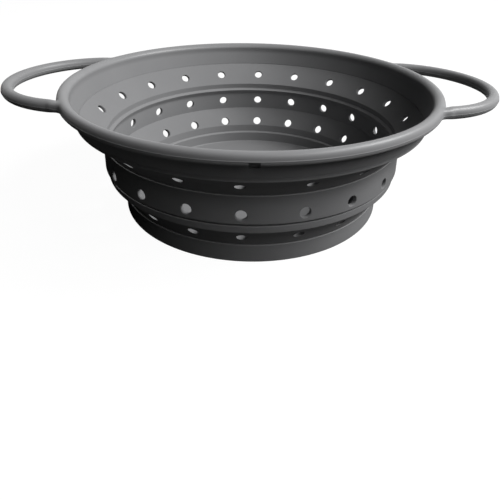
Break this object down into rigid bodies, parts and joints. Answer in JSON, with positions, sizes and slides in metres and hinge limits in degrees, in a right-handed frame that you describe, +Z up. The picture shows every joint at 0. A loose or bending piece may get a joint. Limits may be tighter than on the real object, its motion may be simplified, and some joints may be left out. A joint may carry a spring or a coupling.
{
  "type": "collapsible colander",
  "caption": "Round silicone colander with drain holes, a flat perforated floor, two loop handles in the plane of its rim, and walls that fold flat in two steps.",
  "frame": {"origin": "middle of the foot, on the table", "axes": "+Z up the bowl's axis, +X along the handles"},
  "size_m": [0.3154, 0.24, 0.0813],
  "materials": {
    "silicone": "matte anthracite silicone with a soft sheen",
    "wire": "drawn steel wire"
  },
  "bodies": {
    "base": {"foot_ring": "silicone", "floor_plate": "silicone", "base_wall": "silicone", "base_hinge": "silicone"},
    "middle": {"lower_web": "silicone", "middle_hinge": "silicone", "middle_band": "silicone", "upper_hinge": "silicone"},
    "rim": {"upper_web": "silicone", "rim_hinge": "silicone", "rim_collar": "silicone", "rim_bead": "silicone", "rim_wire": "wire", "right_handle": "silicone", "left_handle": "silicone", "right_handle_wire": "wire", "left_handle_wire": "wire"}
  },
  "joints": [
    {"name": "fold_lower", "type": "slide", "parent": "base", "child": "middle", "axis": [0, 0, -1], "range_m": [0, 0.0368], "deforming": ["lower_web"]},
    {"name": "fold_upper", "type": "slide", "parent": "middle", "child": "rim", "axis": [0, 0, -1], "range_m": [0, 0.0328], "deforming": ["upper_web"]}
  ]
}
